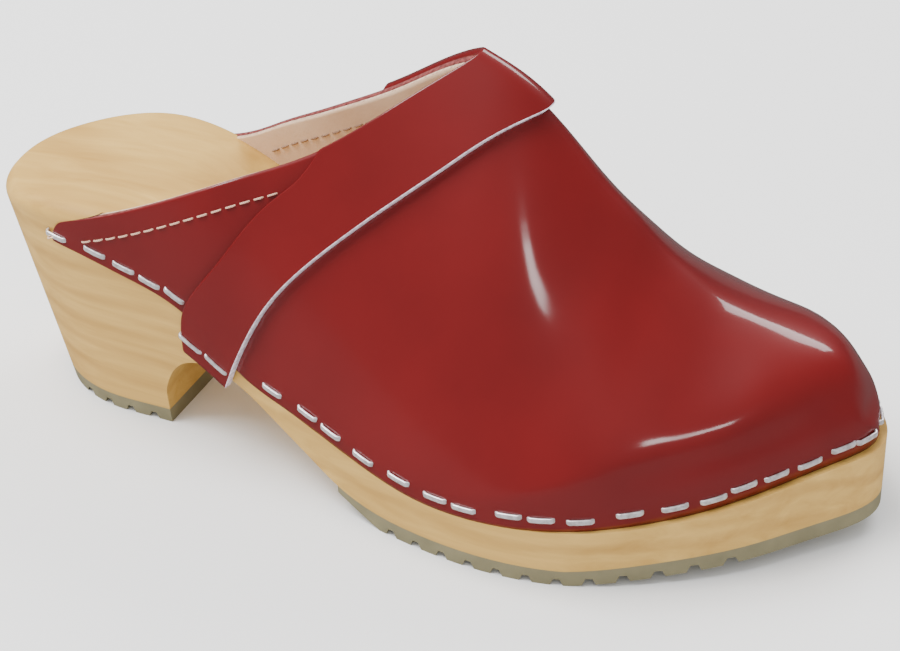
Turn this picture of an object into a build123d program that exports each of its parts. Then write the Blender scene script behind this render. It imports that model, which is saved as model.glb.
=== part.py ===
"""Leather-topped wooden clog for the right foot, size 39/40.

Frame: millimetres, +X towards the toe, +Y towards the inner (big toe) side, +Z up.
The origin is on the floor, under the middle of the clog.
"""
import math
import os

from build123d import *

# ---------------------------------------------------------------- driving dimensions
# Plan of the wooden sole, heel to toe along the outer side and back along the inner side.
HEEL_BACK = (-132, 2)
TOE_TIP = (129.2, 4.5)
OUTER_SIDE = [(-122, -19), (-98, -29), (-68, -30), (-42, -33), (-12, -41), (13, -48),
              (40, -51.5), (63, -48.5), (83, -39.5), (103, -26), (118, -11)]
INNER_SIDE = [(123.5, 21), (109.3, 35.2), (88, 47), (58, 51), (28, 47), (-2, 39),
              (-32, 32), (-52, 30), (-68, 30.5), (-98, 33), (-122, 23)]
HEEL_TAPER = 4.5          # how far each side of the heel draws in at the floor
HEEL_UNDERCUT = 16         # how far the back of the heel draws in at the floor
TAPER_START = -30         # the walls are upright forward of here

HEEL_HEIGHT = 70          # of the block the sole is carved from
FOOTBED = [(-137, 67.5), (-125, 68), (-110, 69.5), (-90, 71), (-70, 69), (-50, 60), (-30, 46.3),
           (-12, 37.5), (10, 29.5), (40, 26.5), (70, 28), (100, 32), (135, 38)]
FOOTBED_DISH = 3.5        # how much lower the middle of the footbed lies than its rim
RIM_ROUND = 4             # rounding of the footbed's rim

TREAD_THICKNESS = 4.7
TREAD_START = -6          # rear end of the forefoot tread
TREAD_HEEL_END = (-6, 6)  # where its underside begins
TREAD_RAMP = 14           # it comes down to the floor over this length
TOE_SPRING = [(62, 0), (84, 2.3), (106, 4.1), (120, 4.9), (132, 6.2)]
RIB_PITCH = 8
RIB_DEPTH = 2
GROOVE_WIDTH = 3.4        # at the mouth; the groove narrows to half of this
SMOOTH_TOE = 107          # no grooves forward of here
HEEL_GROOVES = 4
HEEL_BREAST = -69.5       # front face of the heel
ARCH = [(-69.5, 11), (-67.5, 17), (-62, 24), (-54, 27), (-44, 26.3), (-36, 23.2), (-26, 18),
        (-16, 13), (-7, 8.6), (3, 5.8), (14, 4.8), (22, 4.7)]

# The upper: the line where the leather ends on the wood, its mouth and its spine.
MARGIN = [(-104, 58), (-90, 55.5), (-76, 51.3), (-62, 46.5), (-50, 39), (-38, 29.6),
          (-26, 26), (-11, 22.7), (6, 18.7), (16, 16.8), (38, 16.1), (57, 17.1),
          (79, 18.6), (93, 20.6), (103, 22.8), (113, 24.8), (123, 26.7), (134, 27.6)]
TOPLINE = [(-97, 63), (-92, 65.5), (-77, 70.5), (-57, 78.5), (-40, 85.5), (-25, 92),
           (-14, 98), (-2, 106), (10, 114), (22, 121)]
INNER_TOPLINE = [(-99, 59), (-97.5, 61.3), (-90, 62.3), (-80, 63.8), (-66, 69), (-53, 76.5),
                 (-40, 83.7), (-27, 90.7), (-14, 98)]    # lower, and joins the other here
UPPER_TIP = -99           # rear tip of the leather
TOE_LEDGE = 2             # wood left bare in front of the leather at the toe
TOE_STEP = 3              # the toe stands further in above the staples
STEP_BASE = 7             # height of that step over the leather's lower edge
STEP_RISE = 3.5
LEDGE_START = 40          # the leather is flush with the wood behind this place
LEDGE_END = 100
SPINE = [(-110, 142), (-57, 140), (-20, 134), (0, 127), (20, 118), (27, 114.5), (34, 109.5),
         (45, 97.5), (53, 88), (61, 80), (69, 71.7), (78, 65), (86, 60), (94, 57.3), (102, 55.5),
         (108, 54), (113.5, 52.5), (117.8, 49.7), (120.8, 46), (122.6, 42), (123.8, 38),
         (124.8, 35.5), (126.6, 33.5), (127.5, 31.5), (127.8, 28)]
SPINE_Y = 5.5
# How full the cross-section is: near 1 is a tent, 3 is nearly a box.
FULLNESS = [(-110, 2.0), (-57, 1.4), (-20, 1.2), (21, 1.25), (53, 1.25), (78, 1.3),
            (98, 1.5), (113, 1.7), (132, 1.7)]
# Height of the upright band of leather along the wood: it grows into the wall of the toe.
BAND = [(-110, 4), (-40, 4), (20, 4), (45, 8), (62, 14), (78, 18), (95, 18), (108, 17),
        (116, 14), (132, 10)]
VAMP_THICKNESS = 2.0
LINING_THICKNESS = 1.0
PUFF_THICKNESS = 1.0
PUFF_START = 88           # rear edge of the toe stiffener
PUFF_LAP = 3              # how far the two steps of the lining lap

STRAP_THICKNESS = 2.5
STRAP_FRONT = [(-43, 25.5), (-37, 39), (-29.5, 53), (-13.5, 71), (2, 84.5), (18, 97),
               (31, 105.2), (38, 107), (48, 107)]
STRAP_REAR = [(-57, 33), (-56, 45), (-46, 61), (-38, 72), (-30, 81), (-22.5, 88), (-18.5, 94)]

STAPLE_CROWN = 7.6
STAPLE_WIRE = 1.5         # flat wire, width
STAPLE_FLAT = 0.8         # flat wire, thickness
STAPLE_LEG = 9
STAPLE_RISE = 3.8         # height of the staples above the leather's lower edge
STAPLE_WOBBLE = 0.5       # they are driven by hand, a little up and down
STAPLE_GAPS = [7.5, 9.5, 9.5, 9, 8, 10, 11.5, 12.5, 10, 8.5, 12.5, 8.5, 11.5, 12, 11.5, 8.5,
               13, 20.5, 12, 8, 8, 9, 13]
STRAP_FOOT = (-57, -35)   # no edge staples under the foot of the strap
STRAP_STAPLES = [(-45.5, 32.6), (-54, 36.6)]
STRAP_CROWN = 9
STRAP_WIRE = 1.1

STITCH_PITCH = 4.3
STITCH_LENGTH = 3.0
THREAD = 0.7
STITCH_DROP = 6.5         # from the mouth down to the seam
STITCH_AIR = 0.2          # the thread rests on the leather without cutting into it
OUTER_SEAM = (-87, -65)   # where it starts, on the leather and on the lining above the wood
INNER_SEAM = (-74, -56)
SEAM_SHOWN_END = -28      # the strap covers the seam from here
SEAM_END = 12             # on the lining it runs on to the ridge

NAIL_HEAD = 3.2
NAIL_SHANK = 1.5
NAIL_LENGTH = 14
NAIL_HEAD_HEIGHT = 0.8
NAIL_SUNK = 2.6           # depth of the heads above the floor, in the grooves' line
HEEL_NAILS = [(-99, 2), (-93, -12), (-93, 16), (-78, -16), (-78, 20)]
FOREFOOT_NAILS = [(10, -34), (10, 30), (34, -40), (34, 38), (58, -38), (58, 40)]


# ---------------------------------------------------------------- curves worked out from them
WIDE = 80                 # half-length of every cutter across the clog
LONG = 300                # length of every cutter along it
SAMPLES = 600


def sampled(points, periodic=False):
    """A smooth curve through the points, as a list of positions and tangents along it."""
    with BuildLine() as line:
        Spline(*points, periodic=periodic)
    edge = line.edges()[0]
    steps = [i / SAMPLES for i in range(SAMPLES + 1)]
    return [(edge.position_at(u), edge.tangent_at(u)) for u in steps]


def shifted(samples, distance):
    """The sampled curve moved sideways, to its left when the distance is positive."""
    return [(p.X - t.Y * distance, p.Y + t.X * distance) for p, t in samples]


def value(curve, x):
    """Height or depth of a sampled curve at x."""
    for (x0, y0), (x1, y1) in zip(curve, curve[1:]):
        if x0 <= x <= x1:
            return y0 + (y1 - y0) * (x - x0) / max(x1 - x0, 1e-9)
    return curve[0][1] if x < curve[0][0] else curve[-1][1]


PLAN = [HEEL_BACK, *OUTER_SIDE, TOE_TIP, *INNER_SIDE]
plan = sampled(PLAN, periodic=True)
tip_index = max(range(SAMPLES), key=lambda i: plan[i][0].X)


def eased(share):
    """A smooth step from 0 to 1 while the share goes from 0 to 1."""
    share = min(max(share, 0), 1)
    return share ** 2 * (3 - 2 * share)


def set_back(samples, distance):
    """The plan moved in by a distance at the toe, and by less and less towards the sides."""
    moved = []
    for p, t in samples:
        share = eased((p.X - LEDGE_START) / (LEDGE_END - LEDGE_START))
        moved.append((p + Vector(-t.Y, t.X) * distance * share, t))
    return moved


outer_leather = set_back(plan[:tip_index + 1], TOE_LEDGE)
inner_leather = set_back(plan[tip_index:], TOE_LEDGE)
margin_curve = shifted(sampled(MARGIN), 0)
spine_samples = sampled(SPINE)
fullness_curve = shifted(sampled(FULLNESS), 0)
band_curve = shifted(sampled(BAND), 0)


def spine_curve(inset):
    """The ridge line, drawn in by the inset, and further where the ridge is sharp."""
    curve = []
    for p, t in spine_samples:
        sharpness = 1.45 if p.X < 60 else max(1.0, 1.45 - 0.018 * (p.X - 60))
        curve.append((p.X + t.Y * inset * sharpness, p.Y - t.X * inset * sharpness))
    return curve


class Form:
    """The shape of the foot side of a layer of leather, drawn in from the outside by an inset."""

    def __init__(self, inset):
        sides = (outer_leather, inner_leather)
        self.low = [sorted(shifted(side, inset)) for side in sides]
        self.high = [sorted(shifted(set_back(side, TOE_STEP), inset)) for side in sides]
        self.spine = spine_curve(inset)
        self.tip = TOE_TIP[0] - TOE_LEDGE - inset

    def front(self, z):
        """Where the form's front edge stands at a height."""
        front = self.tip
        for (x0, z0), (x1, z1) in zip(self.spine, self.spine[1:]):
            if z1 <= z <= z0:
                front = min(front, x0 + (x1 - x0) * (z0 - z) / max(z0 - z1, 1e-9))
        return front

    def narrowing(self, x, z):
        """Share of the plan's half width that is left at a height: 1 on the upright band."""
        base = value(margin_curve, x) + value(band_curve, x)
        rise = max(value(self.spine, x) - base, 1e-3)
        climb = min(max((z - base) / rise, 0), 1)
        fullness = value(fullness_curve, x)
        return (1 - climb ** fullness) ** (1 / fullness)

    def side(self, x, z, outer=True):
        """Y of the form's wall at a place along the clog and a height."""
        place = 0 if outer else 1
        step = eased((z - value(margin_curve, x) - STEP_BASE) / STEP_RISE)
        rim = value(self.low[place], x) * (1 - step) + value(self.high[place], x) * step
        return SPINE_Y + (rim - SPINE_Y) * self.narrowing(x, z)


FORM_BACK = -106
LEVELS = [8, 20, 25, 29, 32.5, 35, 37.5, 41, 45, 49, 52, 54.5, 57.5, 61.5, 66, 72, 80, 90,
          100, 110, 122]
STATIONS = 16             # places along each side of a level
CROWDING = 2.4            # how much closer they stand towards the toe


def upper_form(inset):
    """Solid inside a layer of leather, lofted up through level sections."""
    form = Form(inset)
    with BuildPart() as solid:
        for z in LEVELS:
            front = form.front(z)
            steps = [1 - (1 - i / STATIONS) ** CROWDING for i in range(STATIONS)]
            places = [FORM_BACK + (front - FORM_BACK) * step for step in steps]
            nose = (front, TOE_TIP[1])
            outer = [(x, form.side(x, z)) for x in places]
            inner = [(x, form.side(x, z, outer=False)) for x in places]
            with BuildSketch(Plane.XY.offset(z)):
                with BuildLine():
                    Spline(*outer, nose, *reversed(inner))
                    Line(inner[0], outer[0])
                make_face()
        loft(ruled=True)
    return solid.part


# ---------------------------------------------------------------- wooden sole
def drawn_in(point):
    """Where a point of the plan comes down to on the floor: the heel tapers all round."""
    x, y = point
    side = min(max((TAPER_START - x) / 30, 0), 1) * HEEL_TAPER / 32
    back = min(max((HEEL_BREAST - x) / (HEEL_BREAST - HEEL_BACK[0]), 0), 1) * HEEL_UNDERCUT
    return (x + back, y - (y - HEEL_BACK[1]) * side)


with BuildPart() as blank:
    with BuildSketch(Plane.XY):
        with BuildLine():
            Spline(*[drawn_in(point) for point in PLAN], periodic=True)
        make_face()
    with BuildSketch(Plane.XY.offset(HEEL_HEIGHT)):
        with BuildLine():
            Spline(*PLAN, periodic=True)
        make_face()
    loft()

with BuildPart() as above_footbed:
    for x, height in FOOTBED:
        side_rise = FOOTBED_DISH * (WIDE / 42) ** 2
        with BuildSketch(Plane.YZ.offset(x)):
            with BuildLine():
                floor = height - FOOTBED_DISH
                ThreePointArc((-WIDE, floor + side_rise), (2, floor), (WIDE, floor + side_rise))
                Polyline((WIDE, floor + side_rise), (WIDE, 110), (-WIDE, 110),
                         (-WIDE, floor + side_rise))
            make_face()
    loft()

with BuildPart() as sole_body:
    add(blank.part)
    add(above_footbed.part, mode=Mode.SUBTRACT)
    footbed = sole_body.faces().sort_by(SortBy.AREA)[-2:].sort_by(Axis.Z)[-1]
    fillet(footbed.edges(), RIM_ROUND)
    with BuildSketch(Plane.XZ):
        with BuildLine():
            Polyline((-140, -5), (-140, TREAD_THICKNESS), (HEEL_BREAST, TREAD_THICKNESS), ARCH[0])
            Spline(*ARCH)
            spring = [(x, z + TREAD_THICKNESS) for x, z in TOE_SPRING]
            Line(ARCH[-1], spring[0])
            Spline(*spring)
            Polyline(spring[-1], (140, spring[-1][1]), (140, -5), (-140, -5))
        make_face()
    extrude(amount=WIDE, both=True, mode=Mode.SUBTRACT)

# ---------------------------------------------------------------- leather upper, uncut
outside = upper_form(0)
under_vamp = upper_form(VAMP_THICKNESS)
under_puff = upper_form(VAMP_THICKNESS + LINING_THICKNESS)
under_toe_lining = upper_form(VAMP_THICKNESS + LINING_THICKNESS + PUFF_THICKNESS)

with BuildPart() as above_margin:
    with BuildSketch(Plane.XZ):
        with BuildLine():
            Spline(*MARGIN)
            Polyline(MARGIN[-1], (140, 130), (MARGIN[0][0], 130), MARGIN[0])
        make_face()
    extrude(amount=WIDE, both=True)

with BuildPart() as below_mouth:
    with BuildSketch(Plane.XZ):
        with BuildLine():
            Spline((UPPER_TIP, 59), *TOPLINE)
            Polyline(TOPLINE[-1], (TOPLINE[-1][0] + 4, 130), (140, 130), (140, 0),
                     (UPPER_TIP, 0), (UPPER_TIP, 59))
        make_face()
    extrude(amount=WIDE, both=True)

with BuildPart() as upper_room:
    add(above_margin.part)
    add(below_mouth.part, mode=Mode.INTERSECT)
    with BuildSketch(Plane.XZ.offset(-SPINE_Y)):
        with BuildLine():
            Spline(*INNER_TOPLINE)
            Polyline(INNER_TOPLINE[-1], (INNER_TOPLINE[-1][0], 130), (FORM_BACK, 130),
                     (FORM_BACK, INNER_TOPLINE[0][1]), INNER_TOPLINE[0])
        make_face()
    extrude(amount=-WIDE, mode=Mode.SUBTRACT)


def toe_zone(start):
    """Everything forward of a place along the clog."""
    with BuildPart() as zone:
        with BuildSketch(Plane.YZ.offset(start)):
            Rectangle(2 * WIDE, LONG)
        extrude(amount=LONG)
    return zone.part


with BuildPart() as vamp_leather:
    add(outside)
    add(under_vamp, mode=Mode.SUBTRACT)
    add(upper_room.part, mode=Mode.INTERSECT)

with BuildPart() as puff_cloth:
    add(under_vamp)
    add(under_puff, mode=Mode.SUBTRACT)
    add(upper_room.part, mode=Mode.INTERSECT)
    add(toe_zone(PUFF_START), mode=Mode.INTERSECT)

with BuildPart() as toe_lining:
    add(under_puff)
    add(under_toe_lining, mode=Mode.SUBTRACT)
    add(toe_zone(PUFF_START - PUFF_LAP), mode=Mode.INTERSECT)

with BuildPart() as lining_leather:
    add(under_vamp)
    add(under_puff, mode=Mode.SUBTRACT)
    add(toe_zone(PUFF_START), mode=Mode.SUBTRACT)
    add(toe_lining.part)
    add(upper_room.part, mode=Mode.INTERSECT)

# The wood is cut back behind the leather so that it lies flush with the sole's side.
with BuildPart() as rabbet:
    add(upper_room.part)
    add(under_puff, mode=Mode.SUBTRACT)
with BuildPart() as toe_rabbet:
    add(above_margin.part)
    add(toe_zone(PUFF_START - PUFF_LAP), mode=Mode.INTERSECT)
    add(under_toe_lining, mode=Mode.SUBTRACT)

with BuildPart() as strap_leather:
    add(upper_form(-STRAP_THICKNESS))
    add(outside, mode=Mode.SUBTRACT)
    with BuildSketch(Plane.XZ):
        with BuildLine():
            Spline(*STRAP_FRONT)
            Spline(*STRAP_REAR)
            Line(STRAP_FRONT[0], STRAP_REAR[0])
            Polyline(STRAP_REAR[-1], (STRAP_REAR[-1][0], 130), (STRAP_FRONT[-1][0], 130),
                     STRAP_FRONT[-1])
        make_face()
    extrude(amount=WIDE, both=True, mode=Mode.INTERSECT)
    add(below_mouth.part, mode=Mode.INTERSECT)

# ---------------------------------------------------------------- staples
outside_form = Form(0)
inside_form = Form(VAMP_THICKNESS + LINING_THICKNESS)
strap_form = Form(-STRAP_THICKNESS)


def slope(curve, x):
    """Rise of a curve over one millimetre at x."""
    return value(curve, x + 0.5) - value(curve, x - 0.5)


def on_wall(form, x, z, outer, tilt):
    """Plane lying on a form's wall: x along the clog, tilted, and z out of the wall."""
    along = Vector(1, form.side(x + 0.5, z, outer) - form.side(x - 0.5, z, outer), 0)
    up = Vector(0, form.side(x, z + 0.5, outer) - form.side(x, z - 0.5, outer), 1)
    run = (along + up * tilt).normalized()
    out = along.cross(up) if outer else up.cross(along)
    return Plane(origin=(x, form.side(x, z, outer), z), x_dir=run, z_dir=out.normalized())


def staple_shape(crown, wire):
    """A staple driven home: its crown lies on z = 0, its legs point down."""
    with BuildPart() as staple:
        with BuildSketch(Plane.XY):
            RectangleRounded(crown, wire, wire * 0.3)
        extrude(amount=STAPLE_FLAT)
        with BuildSketch(Plane.XY):
            with Locations((crown / 2 - wire / 2, 0), (wire / 2 - crown / 2, 0)):
                Rectangle(STAPLE_FLAT, wire * 0.8)
        extrude(amount=-STAPLE_LEG)
        chamfer(staple.faces().sort_by(Axis.Z)[-1].edges(), STAPLE_FLAT * 0.35)
    return staple.part


def walk(side, start, gaps):
    """Places along one side of the plan, measured back from the toe tip."""
    ring = list(reversed(outer_leather)) if side == "outer" else inner_leather
    goals = [start]
    for gap in gaps:
        goals.append(goals[-1] + gap)
    places = []
    length = 0
    for (p0, _), (p1, t1) in zip(ring, ring[1:]):
        length += (p1 - p0).length
        if len(places) < len(goals) and length >= goals[len(places)]:
            places.append((p1, t1))
    return places


def edge_staples(side, start):
    """Planes of the staples that hold the leather's edge to the wood along one side."""
    planes = []
    for number, (p, t) in enumerate(walk(side, start, STAPLE_GAPS)):
        if STRAP_FOOT[0] < p.X < STRAP_FOOT[1]:
            continue
        rise = STAPLE_RISE + STAPLE_WOBBLE * math.sin(2.1 * number)
        z = value(margin_curve, p.X) + min(rise, rise + (p.X + 40) * 0.02)
        outward = Vector(t.Y, -t.X, 0)
        tilt = slope(margin_curve, p.X) * (1 if side == "outer" else -1)
        run = Vector(t.X, t.Y, abs(t.X) * tilt)
        planes.append(Plane(origin=(p.X, p.Y, z), x_dir=run, z_dir=outward))
    return planes


def placed(shape, planes):
    """Copies of a shape, one on each plane."""
    with BuildPart() as group:
        with Locations(*[plane.location for plane in planes]):
            add(shape)
    return group.part


edge_staple = staple_shape(STAPLE_CROWN, STAPLE_WIRE)
strap_staple = staple_shape(STRAP_CROWN, STRAP_WIRE)
outer_planes = edge_staples("outer", 5.8)
inner_planes = edge_staples("inner", 5.2)
strap_planes = [on_wall(strap_form, x, z, outer, -0.55)
                for x, z in STRAP_STAPLES for outer in (True, False)]
driven = placed(edge_staple, outer_planes + inner_planes) + placed(strap_staple, strap_planes)


# ---------------------------------------------------------------- rubber treads
def groove(x, z):
    """Corners of one groove across a tread, its mouth at a height."""
    half = GROOVE_WIDTH / 2
    return [(x - half, z - 1), (x - half, z), (x - half / 2, z + RIB_DEPTH),
            (x + half / 2, z + RIB_DEPTH), (x + half, z), (x + half, z - 1)]


spring_curve = [(-LONG, 0), *shifted(sampled(TOE_SPRING), 0)]

with BuildPart() as forefoot_rubber:
    add(blank.part)
    with BuildSketch(Plane.XZ):
        with BuildLine():
            Polyline(TREAD_HEEL_END, (TREAD_START, 16), (140, 16), (140, TOE_SPRING[-1][1]),
                     TOE_SPRING[-1])
            Spline(*TOE_SPRING)
            Polyline(TOE_SPRING[0], (TREAD_START + TREAD_RAMP, 0), TREAD_HEEL_END)
        make_face()
    extrude(amount=WIDE, both=True, mode=Mode.INTERSECT)
    with BuildSketch(Plane.XZ):
        for number in range(int((SMOOTH_TOE - TREAD_START - TREAD_RAMP) / RIB_PITCH)):
            place = TREAD_START + TREAD_RAMP + (number + 0.5) * RIB_PITCH
            Polygon(*groove(place, value(spring_curve, place)), align=None)
    extrude(amount=WIDE, both=True, mode=Mode.SUBTRACT)
    add(sole_body.part, mode=Mode.SUBTRACT)

with BuildPart() as heel_rubber:
    add(blank.part)
    with BuildSketch(Plane.XZ):
        with Locations((HEEL_BREAST, 0)):
            Rectangle(WIDE, TREAD_THICKNESS, align=(Align.MAX, Align.MIN))
    extrude(amount=WIDE, both=True, mode=Mode.INTERSECT)
    with BuildSketch(Plane.XZ):
        for number in range(HEEL_GROOVES):
            Polygon(*groove(HEEL_BREAST - (number + 0.75) * RIB_PITCH, 0), align=None)
    extrude(amount=WIDE, both=True, mode=Mode.SUBTRACT)


def nail_shape(underside):
    """A flat-headed nail, its head sunk into the rubber from below."""
    with BuildPart() as nail:
        with BuildSketch(Plane.XY.offset(underside + NAIL_SUNK)):
            Circle(NAIL_HEAD / 2)
        extrude(amount=NAIL_HEAD_HEIGHT)
        with BuildSketch(Plane.XY.offset(underside + NAIL_SUNK)):
            Circle(NAIL_SHANK / 2)
        extrude(amount=NAIL_LENGTH)
    return nail.part


def nail_well(underside):
    """The nail with the open well below its head."""
    with BuildPart() as well:
        add(nail_shape(underside))
        with BuildSketch(Plane.XY.offset(underside - 1)):
            Circle(NAIL_HEAD / 2)
        extrude(amount=NAIL_SUNK + 1)
    return well.part


def nailed(shape, places):
    """Copies of a nail or its well, standing at places on the plan."""
    with BuildPart() as group:
        with Locations(*places):
            add(shape)
    return group.part


heel_wells = nailed(nail_well(0), HEEL_NAILS)
forefoot_wells = nailed(nail_well(0), FOREFOOT_NAILS)

# ---------------------------------------------------------------- seam along the mouth
outer_mouth = shifted(sampled([(UPPER_TIP, 59), *TOPLINE]), 0)
ahead = [point for point in TOPLINE if point[0] > INNER_TOPLINE[-1][0]]
inner_mouth = shifted(sampled(INNER_TOPLINE + ahead), 0)


def stitch_shape():
    """One stitch of thread, lying along x on z = 0."""
    with BuildPart() as stitch:
        with BuildSketch(Plane.YZ.offset(-STITCH_LENGTH / 2)):
            with Locations((0, THREAD / 2 + STITCH_AIR)):
                Circle(THREAD / 2)
        extrude(amount=STITCH_LENGTH)
        chamfer(stitch.edges().filter_by(GeomType.CIRCLE), THREAD * 0.25)
    return stitch.part


def seam(form, outer, start, end, flip):
    """Planes of the stitches of one run of the seam, one pitch apart."""
    planes = []
    mouth = outer_mouth if outer else inner_mouth
    x = start
    while x < end:
        rise = slope(mouth, x)
        run = math.hypot(1, rise)
        z = value(mouth, x) - STITCH_DROP * run
        plane = on_wall(form, x, z, outer, rise)
        planes.append(Plane(plane.origin, plane.x_dir, -plane.z_dir) if flip else plane)
        x += STITCH_PITCH / run
    return planes


def both_faces(outer):
    """The seam's stitches on the outside of the leather and on the lining."""
    on_leather, on_lining = OUTER_SEAM if outer else INNER_SEAM
    shown = seam(outside_form, outer, on_leather, SEAM_SHOWN_END, False)
    return shown + seam(inside_form, outer, on_lining, SEAM_END, True)


stitch = stitch_shape()

# ---------------------------------------------------------------- pieces as they are fitted
with BuildPart() as wooden_sole:
    add(sole_body.part)
    add(rabbet.part, mode=Mode.SUBTRACT)
    add(toe_rabbet.part, mode=Mode.SUBTRACT)
    add(driven, mode=Mode.SUBTRACT)
    add(heel_wells, mode=Mode.SUBTRACT)
    add(forefoot_wells, mode=Mode.SUBTRACT)

with BuildPart() as heel_tread:
    add(heel_rubber.part)
    add(heel_wells, mode=Mode.SUBTRACT)

with BuildPart() as forefoot_tread:
    add(forefoot_rubber.part)
    add(forefoot_wells, mode=Mode.SUBTRACT)

with BuildPart() as heel_tread_nails:
    add(nailed(nail_shape(0), HEEL_NAILS))

with BuildPart() as forefoot_tread_nails:
    add(nailed(nail_shape(0), FOREFOOT_NAILS))

with BuildPart() as vamp:
    add(vamp_leather.part)
    add(driven, mode=Mode.SUBTRACT)

with BuildPart() as vamp_lining:
    add(lining_leather.part)
    add(driven, mode=Mode.SUBTRACT)

with BuildPart() as toe_puff:
    add(puff_cloth.part)
    add(driven, mode=Mode.SUBTRACT)

with BuildPart() as instep_strap:
    add(strap_leather.part)
    add(driven, mode=Mode.SUBTRACT)

with BuildPart() as outer_side_staples:
    add(placed(edge_staple, outer_planes))

with BuildPart() as inner_side_staples:
    add(placed(edge_staple, inner_planes))

with BuildPart() as strap_staples:
    add(placed(strap_staple, strap_planes))

with BuildPart() as outer_side_stitching:
    add(placed(stitch, both_faces(True)))

with BuildPart() as inner_side_stitching:
    add(placed(stitch, both_faces(False)))

pieces = {
    "wooden_sole": wooden_sole, "heel_tread": heel_tread, "forefoot_tread": forefoot_tread,
    "heel_tread_nails": heel_tread_nails, "forefoot_tread_nails": forefoot_tread_nails,
    "vamp": vamp, "vamp_lining": vamp_lining, "toe_puff": toe_puff,
    "instep_strap": instep_strap, "outer_side_staples": outer_side_staples,
    "inner_side_staples": inner_side_staples, "strap_staples": strap_staples,
    "outer_side_stitching": outer_side_stitching, "inner_side_stitching": inner_side_stitching,
}

os.makedirs("parts", exist_ok=True)
for name, piece in pieces.items():
    piece.part.label = name
    export_step(piece.part, f"parts/{name}.step")
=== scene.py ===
import math

import bmesh
import bpy
import numpy as np
from mathutils import Euler, Matrix, Vector


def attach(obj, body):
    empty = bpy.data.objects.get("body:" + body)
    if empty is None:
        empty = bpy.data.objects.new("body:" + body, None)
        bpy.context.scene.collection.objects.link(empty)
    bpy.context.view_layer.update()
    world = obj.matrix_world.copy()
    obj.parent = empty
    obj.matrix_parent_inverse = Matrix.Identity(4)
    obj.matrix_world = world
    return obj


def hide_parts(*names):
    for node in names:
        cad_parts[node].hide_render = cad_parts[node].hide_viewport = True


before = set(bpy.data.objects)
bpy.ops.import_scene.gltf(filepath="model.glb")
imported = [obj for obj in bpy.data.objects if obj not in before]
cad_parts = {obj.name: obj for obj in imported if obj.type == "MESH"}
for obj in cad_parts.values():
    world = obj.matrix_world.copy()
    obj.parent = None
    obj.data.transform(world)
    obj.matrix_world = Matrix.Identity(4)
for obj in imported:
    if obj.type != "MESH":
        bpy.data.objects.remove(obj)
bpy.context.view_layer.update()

MM = 0.001

# Camera. It looks down at the clog from ahead of its outer side, a little tilted.
VIEW_AZIMUTH = math.radians(26.76)
VIEW_HEIGHT = math.radians(33.01)
VIEW_ROLL = math.radians(-2.99)
VIEW_DISTANCE = 0.560
VIEW_TARGET = Vector((-0.00175, 0.002, 0.045))
camera_data = bpy.data.cameras.new("camera")
camera_data.lens = 81.1
camera_data.sensor_width = 36
camera_data.shift_x = 0.0373
camera_data.shift_y = -0.0391
camera_data.clip_start = 0.01
camera = bpy.data.objects.new("camera", camera_data)
bpy.context.collection.objects.link(camera)
turn = Euler((math.pi / 2 - VIEW_HEIGHT, 0, VIEW_AZIMUTH)).to_matrix() @ Matrix.Rotation(VIEW_ROLL, 3, "Z")
camera.matrix_world = turn.to_4x4()
camera.location = VIEW_TARGET + turn.col[2] * VIEW_DISTANCE
bpy.context.scene.camera = camera

# Studio. A pale floor in a white room, a broad lamp over the heel side and two smaller ones.
# The floor and the room are dim in reflections, so that the gloss stays deep.


class Finish:
    """A material being made: its nodes, its links and its Principled shader."""

    def __init__(self, name, roughness):
        self.material = bpy.data.materials.new(name)
        self.material.use_nodes = True
        self.nodes = self.material.node_tree.nodes
        self.links = self.material.node_tree.links
        self.shader = self.nodes["Principled BSDF"]
        self.shader.inputs["Roughness"].default_value = roughness

    def placed(self, **change):
        """The piece's own coordinates, moved, turned or stretched."""
        mapping = self.nodes.new("ShaderNodeMapping")
        for socket, value in change.items():
            mapping.inputs[socket].default_value = value
        own = self.nodes.new("ShaderNodeTexCoord").outputs["Object"]
        self.links.new(own, mapping.inputs["Vector"])
        return mapping.outputs["Vector"]

    def pattern(self, kind, settings, place=None):
        """A noise or wave texture, on the piece's own coordinates unless a place is given."""
        made = self.nodes.new("ShaderNodeTex" + kind)
        for socket, value in settings.items():
            made.inputs[socket].default_value = value
        place = place or self.nodes.new("ShaderNodeTexCoord").outputs["Object"]
        self.links.new(place, made.inputs["Vector"])
        return made

    def tone(self, pattern, low, high, start=0, end=1):
        """A colour that follows a pattern from a low tone to a high one."""
        ramp = self.nodes.new("ShaderNodeValToRGB")
        for element, colour, position in zip(ramp.color_ramp.elements, (low, high), (start, end)):
            element.color = (*colour, 1)
            element.position = position
        self.links.new(pattern.outputs["Fac"], ramp.inputs["Fac"])
        return ramp.outputs["Color"]

    def colour(self, source):
        self.links.new(source, self.shader.inputs["Base Color"])

    def relief(self, pattern, strength, distance):
        """Raises a pattern a little out of the surface; returns the bumped normal."""
        bump = self.nodes.new("ShaderNodeBump")
        bump.inputs["Strength"].default_value = strength
        bump.inputs["Distance"].default_value = distance
        self.links.new(pattern.outputs["Fac"], bump.inputs["Height"])
        self.links.new(bump.outputs["Normal"], self.shader.inputs["Normal"])
        return bump.outputs["Normal"]


def reflection_tone(nodes, links, seen, reflected):
    """A colour that has another tone where a glossy surface reflects it."""
    ray = nodes.new("ShaderNodeLightPath")
    mix = nodes.new("ShaderNodeMix")
    mix.data_type = "RGBA"
    mix.inputs["A"].default_value = (*seen, 1)
    mix.inputs["B"].default_value = (*reflected, 1)
    links.new(ray.outputs["Is Glossy Ray"], mix.inputs["Factor"])
    return mix.outputs["Result"]


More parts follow.
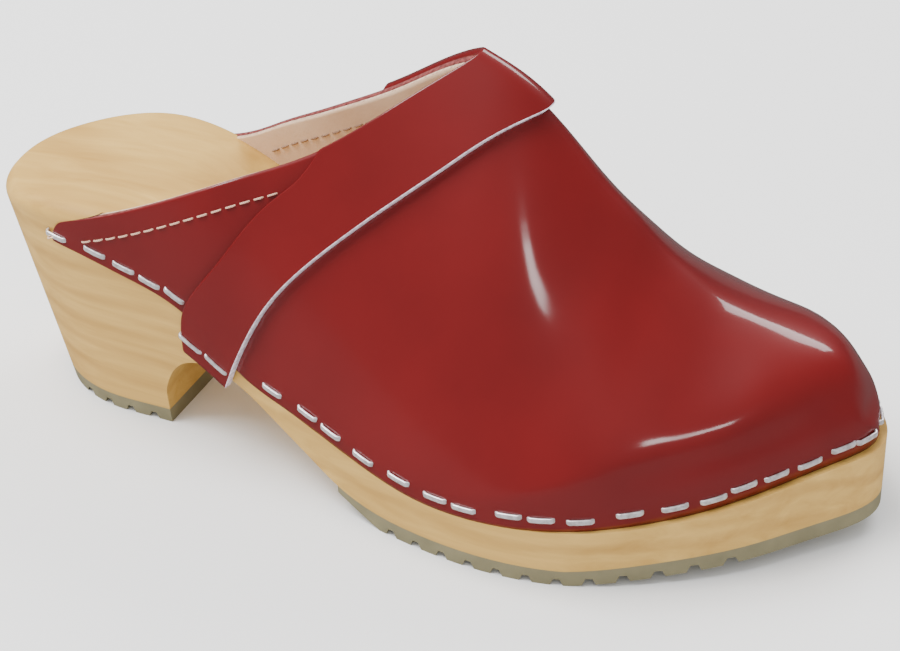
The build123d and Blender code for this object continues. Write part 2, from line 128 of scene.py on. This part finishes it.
def add_object(name, mesh_builder, *materials):
    """Turns a finished bmesh into an object at the origin with its materials."""
    mesh = bpy.data.meshes.new(name)
    mesh_builder.to_mesh(mesh)
    mesh_builder.free()
    made = bpy.data.objects.new(name, mesh)
    bpy.context.collection.objects.link(made)
    for one in materials:
        mesh.materials.append(one)
    mesh.polygons.foreach_set("use_smooth", [True] * len(mesh.polygons))
    return made


FLOOR_SIZE = 6.0
floor_white = Finish("floor_white", 0.8)
floor_white.colour(reflection_tone(floor_white.nodes, floor_white.links,
                                   (0.92, 0.92, 0.92), (0.05, 0.045, 0.045)))
builder = bmesh.new()
bmesh.ops.create_grid(builder, x_segments=2, y_segments=2, size=FLOOR_SIZE / 2)
floor = add_object("floor", builder, floor_white.material)

world = bpy.data.worlds.new("white_room")
bpy.context.scene.world = world
world.use_nodes = True
room = world.node_tree.nodes["Background"]
room.inputs["Strength"].default_value = 1.0
room_tone = reflection_tone(world.node_tree.nodes, world.node_tree.links, (1, 1, 1), (0.05, 0.05, 0.055))
world.node_tree.links.new(room_tone, room.inputs["Color"])


def lamp(name, place, aim, width, height, power):
    """A rectangular studio lamp that faces a point."""
    data = bpy.data.lights.new(name, "AREA")
    data.shape = "RECTANGLE"
    data.size = width
    data.size_y = height
    data.energy = power
    made = bpy.data.objects.new(name, data)
    bpy.context.collection.objects.link(made)
    made.location = place
    made.rotation_euler = (Vector(aim) - Vector(place)).to_track_quat("-Z", "Y").to_euler()


lamp("broad_lamp", (-0.7, -0.2, 1.5), (0, 0, 0.04), 1.2, 1.2, 50)
lamp("front_lamp", (0.88, -0.98, 0.98), (0.06, 0, 0.05), 0.16, 0.14, 1.0)
lamp("back_lamp", (0.3, 1.3, 1.3), (0, 0, 0.05), 1.0, 0.6, 16)


# Wooden sole. One block of pale alder, sawn and sanded to shape, left bare.
# Its grain runs from heel to toe; the CAD piece keeps its shape and gets its finish here.
def wood_finish():
    """Pale alder: fine streaks along the sole over the broad bands of the year rings."""
    finish = Finish("bare_alder", 0.6)
    finish.shader.inputs["Specular IOR Level"].default_value = 0.3
    grain = finish.pattern("Noise", {"Scale": 1.0, "Detail": 8, "Roughness": 0.6, "Distortion": 0.6},
                           finish.placed(Scale=(14, 150, 190), Rotation=(0.15, 0.05, 0.03)))
    rings = finish.pattern("Wave", {"Scale": 34, "Distortion": 3.5, "Detail": 3, "Detail Scale": 1.2},
                           finish.placed(Location=(0, 0.03, 0.32), Scale=(0.35, 1, 1)))
    rings.wave_type = "RINGS"
    rings.rings_direction = "X"
    both = finish.nodes.new("ShaderNodeMix")
    both.data_type = "RGBA"
    both.blend_type = "MULTIPLY"
    both.inputs["Factor"].default_value = 0.55
    streaks = finish.tone(grain, (0.49, 0.28, 0.062), (0.66, 0.415, 0.115), 0.25, 0.75)
    finish.links.new(streaks, both.inputs["A"])
    finish.links.new(finish.tone(rings, (0.80, 0.74, 0.66), (1, 1, 1), 0, 0.45), both.inputs["B"])
    finish.colour(both.outputs["Result"])
    finish.relief(grain, 0.25, 0.0002)
    return finish.material


def finish_node(node, made):
    """Gives a CAD piece its finish."""
    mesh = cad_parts[node].data
    mesh.materials.clear()
    mesh.materials.append(made)


finish_node("wooden_sole", wood_finish())


# Treads. Ribbed khaki rubber, one under the heel and one under the forefoot,
# glued and nailed to the wood.
def rubber_finish():
    """Matt moulded rubber, faintly mottled."""
    finish = Finish("khaki_rubber", 0.75)
    mottle = finish.pattern("Noise", {"Scale": 160, "Detail": 6})
    finish.colour(finish.tone(mottle, (0.16, 0.14, 0.075), (0.26, 0.23, 0.125)))
    finish.relief(mottle, 0.4, 0.0002)
    return finish.material


khaki_rubber = rubber_finish()
finish_node("heel_tread", khaki_rubber)
finish_node("forefoot_tread", khaki_rubber)


# Upper's shape. The leather is lasted over a foot form and stapled round the edge of the wood:
# these lines are the form's plan, the leather's lower edge, its mouth and its ridge, in mm.
HEEL_BACK = (-132, 2)
TOE_TIP = (129.2, 4.5)
OUTER_SIDE = [(-122, -19), (-98, -29), (-68, -30), (-42, -33), (-12, -41), (13, -48),
              (40, -51.5), (63, -48.5), (83, -39.5), (103, -26), (118, -11)]
INNER_SIDE = [(123.5, 21), (109.3, 35.2), (88, 47), (58, 51), (28, 47), (-2, 39),
              (-32, 32), (-52, 30), (-68, 30.5), (-98, 33), (-122, 23)]
MARGIN = [(-104, 58), (-90, 55.5), (-76, 51.3), (-62, 46.5), (-50, 39), (-38, 29.6),
          (-26, 26), (-11, 22.7), (6, 18.7), (16, 16.8), (38, 16.1), (57, 17.1),
          (79, 18.6), (93, 20.6), (103, 22.8), (113, 24.8), (123, 26.7), (134, 27.6)]
OUTER_MOUTH = [(-99, 59), (-97, 63), (-92, 65.5), (-77, 70.5), (-57, 78.5), (-40, 85.5),
               (-25, 92), (-14, 98), (-2, 106), (10, 114), (22, 121)]
INNER_MOUTH = [(-99, 59), (-97.5, 61.3), (-90, 62.3), (-80, 63.8), (-66, 69), (-53, 76.5),
               (-40, 83.7), (-27, 90.7), (-14, 98), (-2, 106), (10, 114), (22, 121)]
SPINE = [(-110, 142), (-57, 140), (-20, 134), (0, 127), (20, 118), (27, 114.5), (34, 109.5),
         (45, 97.5), (53, 88), (61, 80), (69, 71.7), (78, 65), (86, 60), (94, 57.3), (102, 55.5),
         (108, 54), (113.5, 52.5), (117.8, 49.7), (120.8, 46), (122.6, 42), (123.8, 38),
         (124.8, 35.5), (126.6, 33.5), (127.5, 31.5), (127.8, 28)]
FULLNESS = [(-110, 2.0), (-57, 1.4), (-20, 1.2), (21, 1.25), (53, 1.25), (78, 1.3),
            (98, 1.5), (113, 1.7), (132, 1.7)]
BAND = [(-110, 4), (-40, 4), (20, 4), (45, 8), (62, 14), (78, 18), (95, 18), (108, 17),
        (116, 14), (132, 10)]
SPINE_Y = 5.5
TOE_LEDGE = 2
TOE_STEP = 3
STEP_BASE = 6.5
STEP_RISE = 12
LEDGE_START = 40
LEDGE_END = 100
VAMP_THICKNESS = 2.0
LINING_THICKNESS = 1.0
GLUE_GAP = 0.02


def smooth_line(points, count=600, closed=False):
    """Evenly spaced positions on a smooth cubic curve through the points."""
    ends = [points[0]] if closed else []
    knots = np.array(list(points) + ends, float)
    run = np.concatenate([[0], np.cumsum(np.hypot(*np.diff(knots, axis=0).T))])
    gaps = np.diff(run)
    n = len(knots)
    rows = np.zeros((n, n))
    right = np.zeros((n, 2))
    for i in range(1, n - 1):
        rows[i, i - 1:i + 2] = gaps[i - 1], 2 * (gaps[i - 1] + gaps[i]), gaps[i]
        right[i] = 6 * ((knots[i + 1] - knots[i]) / gaps[i] - (knots[i] - knots[i - 1]) / gaps[i - 1])
    if closed:
        rows[0, [0, 1, -2]] = 2 * (gaps[0] + gaps[-1]), gaps[0], gaps[-1]
        right[0] = 6 * ((knots[1] - knots[0]) / gaps[0] - (knots[0] - knots[-2]) / gaps[-1])
        rows[-1, [0, -1]] = 1, -1
    else:
        rows[0, 0] = rows[-1, -1] = 1
    bend = np.linalg.solve(rows, right)
    at = np.linspace(0, run[-1], count)
    i = np.clip(np.searchsorted(run, at, side="right") - 1, 0, n - 2)
    a = ((run[i + 1] - at) / gaps[i])[:, None]
    b = 1 - a
    g = (gaps[i] ** 2 / 6)[:, None]
    return a * knots[i] + b * knots[i + 1] + g * ((a ** 3 - a) * bend[i] + (b ** 3 - b) * bend[i + 1])


def lengths(line):
    """How far along a line each of its positions is."""
    steps = np.linalg.norm(np.diff(line, axis=0), axis=1)
    return np.concatenate([[0], np.cumsum(steps)])


def even(line, count):
    """The same line with evenly spaced positions."""
    far = lengths(line)
    goals = np.linspace(0, far[-1], count)
    return np.stack([np.interp(goals, far, axis) for axis in line.T], 1)


def height_at(line, x):
    """The height of a line, seen from the side, at a place along the clog."""
    order = np.argsort(line[:, 0], kind="stable")
    return np.interp(x, line[order, 0], line[order, 1])


plan = smooth_line([HEEL_BACK, *OUTER_SIDE, TOE_TIP, *INNER_SIDE], 1200, closed=True)
heading = np.gradient(plan, axis=0)
heading = heading / np.linalg.norm(heading, axis=1)[:, None]


def eased(share):
    """A share from 0 to 1 that starts and stops gently."""
    share = np.clip(share, 0, 1)
    return share ** 2 * (3 - 2 * share)


def leather_plan(distance):
    """Both sides of the plan, heel to toe, moved in by a distance at the toe."""
    ledge = distance * eased((plan[:, 0] - LEDGE_START) / (LEDGE_END - LEDGE_START))
    moved = plan + np.stack([-heading[:, 1], heading[:, 0]], 1) * ledge[:, None]
    tip = int(np.argmax(moved[:, 0]))
    return moved[:tip + 1], moved[tip:][::-1]


low_sides = leather_plan(TOE_LEDGE)
high_sides = leather_plan(TOE_LEDGE + TOE_STEP)
margin_line = smooth_line(MARGIN)
mouth_lines = [smooth_line(OUTER_MOUTH), smooth_line(INNER_MOUTH)]
spine_line = smooth_line(SPINE)
fullness_line = smooth_line(FULLNESS)
band_line = smooth_line(BAND)


def form_side(x, z, inner):
    """Y of the form's wall at a place along the clog and a height."""
    margin = height_at(margin_line, x)
    base = margin + height_at(band_line, x)
    rise = np.maximum(height_at(spine_line, x) - base, 1e-3)
    climb = np.clip((z - base) / rise, 0, 1)
    fullness = height_at(fullness_line, x)
    width = (1 - climb ** fullness) ** (1 / fullness)
    step = eased((z - margin - STEP_BASE) / STEP_RISE)
    rim = height_at(low_sides[inner], x) * (1 - step) + height_at(high_sides[inner], x) * step
    return SPINE_Y + (rim - SPINE_Y) * width


def form_front(z):
    """Where the ridge stands at a height."""
    falling = spine_line[::-1]
    return np.interp(z, falling[:, 1], falling[:, 0], left=low_sides[0][-1, 0])


def form_curve(start, end, inner, count):
    """A line up the form from a place on its lower edge to a place on its mouth or ridge."""
    z = np.linspace(start[1], end[1], 400)
    climb = (z - start[1]) / max(end[1] - start[1], 1e-6)
    back = (form_front(start[1]) - start[0]) * (1 - climb) + (form_front(end[1]) - end[0]) * climb
    x = form_front(z) - np.maximum(back, 0)
    return even(np.stack([x, form_side(x, z, inner), z], 1), count)


# Vamp. One piece of cowhide under a thick clear gloss coat, about 2 mm thick, open at the back.
# Its lower edge stands in the step cut round the wood; a thin lining backs it all over.
VAMP_COLUMNS = 192
VAMP_ROWS = 56
UPPER_TIP = -99
LAP_START = 84            # the lining goes deeper over the stiffener from here
LAP_LENGTH = 4
LAP_DEPTH = 1

ridge_point = mouth_lines[0][np.argmax(mouth_lines[0][:, 1] > height_at(spine_line, mouth_lines[0][:, 0]))]
mouth_halves = [even(np.vstack([line[line[:, 0] < ridge_point[0]], ridge_point]), VAMP_COLUMNS // 2 + 1)
                for line in mouth_lines]
rims = [even(side[side[:, 0] >= UPPER_TIP], VAMP_COLUMNS // 2 + 1) for side in low_sides]


def leather_sheet(name, depth, *materials):
    """A sheet of leather at a depth under the form, from the wood's edge to the mouth.

    A sheet that isn't on the outside goes deeper at the toe, where the stiffener lies over it.
    """
    builder = bmesh.new()
    bmesh.ops.create_grid(builder, x_segments=VAMP_COLUMNS, y_segments=VAMP_ROWS, size=0.5)
    builder.verts.ensure_lookup_table()
    half = VAMP_COLUMNS // 2
    columns = []
    for number in range(VAMP_COLUMNS + 1):
        inner = int(number > half)
        index = VAMP_COLUMNS - number if inner else number
        rim = rims[inner][index]
        start = (rim[0], height_at(margin_line, rim[0]))
        columns.append(form_curve(start, mouth_halves[inner][index], inner, VAMP_ROWS + 1))
    for vertex in builder.verts:
        column = round((vertex.co.x + 0.5) * VAMP_COLUMNS)
        row = round((vertex.co.y + 0.5) * VAMP_ROWS)
        vertex.co = Vector(columns[column][row]) * MM
    if depth:
        builder.normal_update()
        for vertex in builder.verts:
            lap = LAP_DEPTH * min(max((vertex.co.x / MM - LAP_START) / LAP_LENGTH, 0), 1)
            vertex.co -= vertex.normal * (depth + lap) * MM
    return add_object(name, builder, *materials)


def gloss_finish():
    """Red hide, clouded a little, with slow waves in its clear coat."""
    finish = Finish("red_patent_leather", 0.42)
    finish.shader.inputs["Specular IOR Level"].default_value = 0.3
    finish.shader.inputs["Coat Weight"].default_value = 1.0
    finish.shader.inputs["Coat Roughness"].default_value = 0.10
    finish.shader.inputs["Coat IOR"].default_value = 1.5
    cloud = finish.pattern("Noise", {"Scale": 28, "Detail": 4})
    finish.colour(finish.tone(cloud, (0.118, 0.0025, 0.0032), (0.185, 0.004, 0.005)))
    wave = finish.pattern("Noise", {"Scale": 60, "Detail": 2})
    finish.links.new(finish.relief(wave, 0.12, 0.0006), finish.shader.inputs["Coat Normal"])
    return finish.material


def cut_edge_finish(name, low, high):
    """The raw cut edge of a hide: fibres packed side by side."""
    finish = Finish(name, 0.9)
    fibre = finish.pattern("Noise", {"Scale": 900, "Detail": 5})
    finish.colour(finish.tone(fibre, low, high, 0.35, 0.6))
    finish.relief(fibre, 0.6, 0.0002)
    return finish.material


def thicken(piece, thickness, offset, edge_finish=1):
    """Gives a sheet its thickness, its cut edge a finish of its own, and smooths it."""
    wall = piece.modifiers.new("thickness", "SOLIDIFY")
    wall.thickness = thickness * MM
    wall.offset = offset
    wall.material_offset_rim = edge_finish
    wall.use_rim = True
    wall.edge_crease_outer = 0.9
    wall.edge_crease_inner = 0.9
    finer = piece.modifiers.new("smooth", "SUBSURF")
    finer.levels = 1
    finer.render_levels = 1


red_gloss = gloss_finish()
dyed_edge = cut_edge_finish("dyed_cut_edge", (0.10, 0.012, 0.012), (0.24, 0.05, 0.045))
vamp = leather_sheet("vamp_leather", 0, red_gloss, dyed_edge)
thicken(vamp, VAMP_THICKNESS, -1)
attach(vamp, "root")
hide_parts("vamp")


# Lining. A thin sheet of natural hide, its nap to the foot, glued behind the whole vamp.
# Its cut edge shows beside the vamp's round the mouth.
def nap_finish():
    """Undyed hide with a soft fine nap, unevenly toned."""
    finish = Finish("natural_nap", 0.95)
    finish.shader.inputs["Sheen Weight"].default_value = 0.25
    stain = finish.pattern("Noise", {"Scale": 45, "Detail": 6})
    finish.colour(finish.tone(stain, (0.76, 0.52, 0.33), (0.95, 0.72, 0.52), 0.3, 0.7))
    finish.relief(finish.pattern("Noise", {"Scale": 1100, "Detail": 4}), 0.5, 0.0002)
    return finish.material


natural_nap = nap_finish()
natural_edge = cut_edge_finish("natural_cut_edge", (0.42, 0.26, 0.17), (0.66, 0.48, 0.35))
lining = leather_sheet("vamp_lining_hide", VAMP_THICKNESS + GLUE_GAP, natural_nap, natural_edge)
thicken(lining, LINING_THICKNESS, -1)
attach(lining, "root")
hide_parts("vamp_lining")


# Toe puff. A stiffened piece of woven cloth between the vamp and its lining at the toe.
# It is hidden all round, so the CAD piece keeps its shape and takes a cloth finish.
def stiff_cloth_finish():
    """Coarse woven cloth, stiff with size."""
    finish = Finish("stiffened_cloth", 0.9)
    weave = finish.pattern("Wave", {"Scale": 420, "Distortion": 1.5})
    finish.colour(finish.tone(weave, (0.20, 0.15, 0.09), (0.34, 0.26, 0.17)))
    finish.relief(weave, 0.5, 0.0002)
    return finish.material


finish_node("toe_puff", stiff_cloth_finish())


# Strap. A broad band of the same red hide, 2.5 mm thick, laid over the instep and stapled
# to the wood at both feet. Its edges are left raw, with the pale hide showing under the gloss.
STRAP_THICKNESS = 2.5
STRAP_FRONT = [(-43, 25.5), (-37, 39), (-29.5, 53), (-13.5, 71), (2, 84.5), (18, 97),
               (31, 105.2), (38, 107), (48, 107)]
STRAP_REAR = [(-57, 33), (-56, 45), (-46, 61), (-38, 72), (-30, 81), (-22.5, 88), (-18.5, 94)]
STRAP_COLUMNS = 180
STRAP_ROWS = 40
ROW_SPREAD = 1.5          # above 1, the rows lie closer together at the front edge
RAW_ROWS = 2
EDGE_SAMPLES = 300
JOIN_GAP = 0.6            # between the rear edge's own line and the mouth's


def up_to_ridge(line):
    """The part of a line on the form, seen from the side, that lies below the ridge."""
    below = line[:, 1] < height_at(spine_line, line[:, 0])
    return line[:np.argmin(below)] if not below.all() else line


strap_front = up_to_ridge(smooth_line(STRAP_FRONT))
rear_edge = smooth_line(STRAP_REAR)
strap_halves = []
for inner, mouth in enumerate(mouth_lines):
    rest = mouth[(mouth[:, 0] > STRAP_REAR[-1][0] + JOIN_GAP) & (mouth[:, 0] < ridge_point[0])]
    strap_rear = np.vstack([rear_edge, rest, ridge_point])
    front, rear = even(strap_front, EDGE_SAMPLES), even(strap_rear, EDGE_SAMPLES)
    front_drop = height_at(spine_line, front[:, 0]) - front[:, 1]
    rear_drop = height_at(spine_line, rear[:, 0]) - rear[:, 1]
    front_drop[-1] = rear_drop[-1] = 0
    half = []
    for number in range(STRAP_ROWS + 1):
        back = (number / STRAP_ROWS) ** ROW_SPREAD
        x = front[:, 0] * (1 - back) + rear[:, 0] * back
        z = height_at(spine_line, x) - (front_drop * (1 - back) + rear_drop * back)
        path = np.stack([x, form_side(x, z, inner), z], 1)
        half.append(even(path, STRAP_COLUMNS // 2 + 1))
    strap_halves.append(half)

builder = bmesh.new()
bmesh.ops.create_grid(builder, x_segments=STRAP_COLUMNS, y_segments=STRAP_ROWS, size=0.5)
for face in builder.faces:
    face.material_index = int((face.calc_center_median().y + 0.5) * STRAP_ROWS < RAW_ROWS)
for vertex in builder.verts:
    column = round((vertex.co.x + 0.5) * STRAP_COLUMNS)
    row = round((vertex.co.y + 0.5) * STRAP_ROWS)
    inner = int(column > STRAP_COLUMNS // 2)
    index = STRAP_COLUMNS - column if inner else column
    vertex.co = Vector(strap_halves[inner][row][index]) * MM
pale_edge = cut_edge_finish("raw_hide_edge", (0.44, 0.33, 0.40), (0.72, 0.64, 0.70))
strap = add_object("strap_leather", builder, red_gloss, pale_edge)
thicken(strap, STRAP_THICKNESS, 1, 0)
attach(strap, "root")
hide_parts("instep_strap")


# Places on the leather. Staples and stitches are set on these small frames.
def wall_frame(x, z, inner, tilt, depth=0.0):
    """A frame on the form's wall in mm: x runs along it, tilted, and z points out of it."""
    step = 0.5
    along = Vector((1, float(form_side(x + step, z, inner) - form_side(x - step, z, inner)), 0))
    up = Vector((0, float(form_side(x, z + step, inner) - form_side(x, z - step, inner)), 1))
    run = (along + up * tilt).normalized()
    out = (up.cross(along) if inner else along.cross(up)).normalized()
    made = Matrix((run, out.cross(run), out)).transposed().to_4x4()
    made.translation = Vector((x, float(form_side(x, z, inner)), z)) - out * depth
    return made


def slope_at(line, x):
    """How much a line rises over 1 mm, halfway about a place."""
    return float(height_at(line, x + 0.5) - height_at(line, x - 0.5))


# Staples. Flat bright wire, driven by hand through the leather into the wood all round its
# edge, with thinner ones through the feet of the strap. The crowns bed into the leather.
STAPLE_RISE = 3.8         # of the crowns above the leather's lower edge
STAPLE_WOBBLE = 0.5
REAR_START = -40          # behind here the row comes nearer the edge
REAR_DROP = 0.02
FIRST_STAPLE = (5.8, 5.2)  # from the toe's tip, outer and inner side
STAPLE_GAPS = [7.5, 9.5, 9.5, 9, 8, 10, 11.5, 12.5, 10, 8.5, 12.5, 8.5, 11.5, 12, 11.5, 8.5,
               13, 20.5, 12, 8, 8, 9, 13]
STRAP_FOOT = (-57, -35)
STRAP_STAPLES = [(-45.5, 32.6), (-54, 36.6)]
STRAP_STAPLE_TILT = -0.55
EDGE_CROWN = (7.6, 1.5)   # length and width
STRAP_CROWN = (9, 1.1)
STAPLE_LEG = 8.6
WIRE_THICKNESS = 0.75
WIRE_CORNER = 0.28


def steel_finish():
    """Bright wire, scuffed by the hammer."""
    finish = Finish("bright_staple_wire", 0.3)
    finish.shader.inputs["Metallic"].default_value = 0.6
    scuff = finish.pattern("Noise", {"Scale": 700, "Detail": 5})
    finish.colour(finish.tone(scuff, (0.62, 0.58, 0.58), (0.95, 0.92, 0.95), 0.3, 0.6))
    finish.relief(scuff, 0.3, 0.0001)
    return finish.material


def rounded_profile(width, thickness, corner):
    """Corners of a flat wire's rounded section, across and out."""
    points = []
    for sx, sy, first in ((1, 1, 0), (-1, 1, 1), (-1, -1, 2), (1, -1, 3)):
        for k in range(3):
            angle = math.pi / 2 * (first + k / 2)
            points.append((sx * (width / 2 - corner) + corner * math.cos(angle),
                           sy * (thickness / 2 - corner) + corner * math.sin(angle)))
    return points


def sweep(builder, path, profile, side, frame_matrix, finish=0):
    """Draws a closed profile along a path in a frame; the side direction stays fixed."""
    rings = []
    for number, point in enumerate(path):
        before, after = path[max(number - 1, 0)], path[min(number + 1, len(path) - 1)]
        heading = (after - before).normalized()
        out = side.cross(heading)
        rings.append([builder.verts.new(frame_matrix @ (point + side * a + out * b) * MM)
                      for a, b in profile])
    count = len(profile)
    skin = [builder.faces.new(rings[0][::-1]), builder.faces.new(rings[-1])]
    for low, high in zip(rings, rings[1:]):
        for k in range(count):
            after = (k + 1) % count
            skin.append(builder.faces.new((low[k], low[after], high[after], high[k])))
    for face in skin:
        face.material_index = finish


def staple_path(crown, leg, bend=1.1, lift=0.35, inset=0.4, arch=0.06):
    """Middle line of a driven staple: down one leg, over the crown and down the other."""
    half = crown / 2 - inset
    corner = [Vector((half - bend + bend * math.sin(a), 0, lift - bend + bend * math.cos(a)))
              for a in (math.pi / 2 * k / 5 for k in range(6))]
    right = corner + [Vector((half, 0, -leg))]
    left = [Vector((-p.x, p.y, p.z)) for p in reversed(right)]
    middle = [Vector((half * k / 4, 0, lift + arch * (1 - (k / 2) ** 2))) for k in (-2, -1, 0, 1, 2)]
    return left + middle + right


def edge_places(inner):
    """Frames of the staples along one side, walked back from the toe tip."""
    ring = low_sides[inner][::-1]
    far = lengths(ring)
    goals = FIRST_STAPLE[inner] + np.concatenate([[0], np.cumsum(STAPLE_GAPS)])
    for number, goal in enumerate(goals):
        x, y = (float(np.interp(goal, far, axis)) for axis in ring.T)
        if STRAP_FOOT[0] < x < STRAP_FOOT[1] or goal > far[-1]:
            continue
        ahead = Vector([float(np.interp(goal + 0.5, far, axis) - np.interp(goal - 0.5, far, axis))
                        for axis in ring.T]).normalized()
        rise = STAPLE_RISE + STAPLE_WOBBLE * math.sin(2.1 * number)
        z = float(height_at(margin_line, x)) + min(rise, rise + (x - REAR_START) * REAR_DROP)
        toward_toe = Vector((-ahead.x, -ahead.y))
        run = toward_toe if not inner else -toward_toe
        out = Vector((run.y, -run.x, 0))
        tilt = slope_at(margin_line, x) * (-1 if inner else 1)
        along = Vector((run.x, run.y, abs(run.x) * tilt)).normalized()
        made = Matrix((along, out.cross(along), out)).transposed().to_4x4()
        made.translation = Vector((x, y, z))
        yield made


def staple_group(name, node, places, crown, width):
    """One object of all the staples of a row, which stands for its CAD node."""
    builder = bmesh.new()
    for place in places:
        sweep(builder, staple_path(crown, STAPLE_LEG),
              rounded_profile(width, WIRE_THICKNESS, WIRE_CORNER), Vector((0, 1, 0)), place)
    bmesh.ops.recalc_face_normals(builder, faces=builder.faces)
    made = add_object(name, builder, bright_wire)
    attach(made, "root")
    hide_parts(node)


bright_wire = steel_finish()
staple_group("outer_staples", "outer_side_staples", edge_places(0), *EDGE_CROWN)
staple_group("inner_staples", "inner_side_staples", edge_places(1), *EDGE_CROWN)
staple_group("strap_foot_staples", "strap_staples",
             [wall_frame(x, z, inner, STRAP_STAPLE_TILT, -STRAP_THICKNESS)
              for x, z in STRAP_STAPLES for inner in (0, 1)], *STRAP_CROWN)

# Stitching. One line of lockstitch along the mouth through the vamp and its lining: pale waxed
# thread outside, until the strap hides it, and brown thread on the lining, up to the ridge.
STITCH_PITCH = 4.3
STITCH_LENGTH = 3.3
STITCH_DROP = 6.5
STITCH_LIFT = 0.38
STITCH_DIP = 0.9          # of its ends into the leather
THREAD = 0.55
SEAM_STARTS = [(-87, -73), (-74, -56)]
SEAM_ENDS = (-28, 12)


def thread_finish(name, low, high):
    """Waxed thread, its twist showing as slanting bands."""
    finish = Finish(name, 0.6)
    twist = finish.pattern("Wave", {"Scale": 750, "Distortion": 1.0})
    twist.bands_direction = "DIAGONAL"
    finish.colour(finish.tone(twist, low, high))
    finish.relief(twist, 0.6, 0.0001)
    return finish.material


pale_thread = thread_finish("pale_waxed_thread", (0.50, 0.24, 0.16), (0.80, 0.54, 0.40))
brown_thread = thread_finish("brown_waxed_thread", (0.22, 0.12, 0.07), (0.42, 0.25, 0.16))
thread_section = [(THREAD / 2 * math.cos(a), THREAD / 2 * math.sin(a))
                  for a in (math.pi * k / 5 for k in range(10))]
stitch_path = [Vector((STITCH_LENGTH * (k / 8 - 0.5), 0, STITCH_LIFT - STITCH_DIP * abs(k / 4 - 1) ** 5))
               for k in range(9)]
for inner, node in enumerate(("outer_side_stitching", "inner_side_stitching")):
    builder = bmesh.new()
    for on_lining in (False, True):
        x = SEAM_STARTS[inner][on_lining]
        while x < SEAM_ENDS[on_lining]:
            rise = slope_at(mouth_lines[inner], x)
            run = math.hypot(1, rise)
            z = float(height_at(mouth_lines[inner], x)) - STITCH_DROP * run
            place = wall_frame(x, z, inner, rise, VAMP_THICKNESS + LINING_THICKNESS if on_lining else 0)
            if on_lining:
                place = place @ Matrix.Rotation(math.pi, 4, "X")
            sweep(builder, stitch_path, thread_section, Vector((0, 1, 0)), place, int(on_lining))
            x += STITCH_PITCH / run
    bmesh.ops.recalc_face_normals(builder, faces=builder.faces)
    seam = add_object(node.replace("stitching", "thread"), builder, pale_thread, brown_thread)
    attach(seam, "root")
    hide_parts(node)


# Tread nails. Plain steel nails, their heads sunk in the rubber from below.
def nail_finish():
    """Plain steel, dulled by wear."""
    finish = Finish("dull_nail_steel", 0.45)
    finish.shader.inputs["Metallic"].default_value = 1.0
    patina = finish.pattern("Noise", {"Scale": 500, "Detail": 6})
    finish.colour(finish.tone(patina, (0.20, 0.18, 0.16), (0.48, 0.47, 0.46)))
    return finish.material


dull_steel = nail_finish()
finish_node("heel_tread_nails", dull_steel)
finish_node("forefoot_tread_nails", dull_steel)
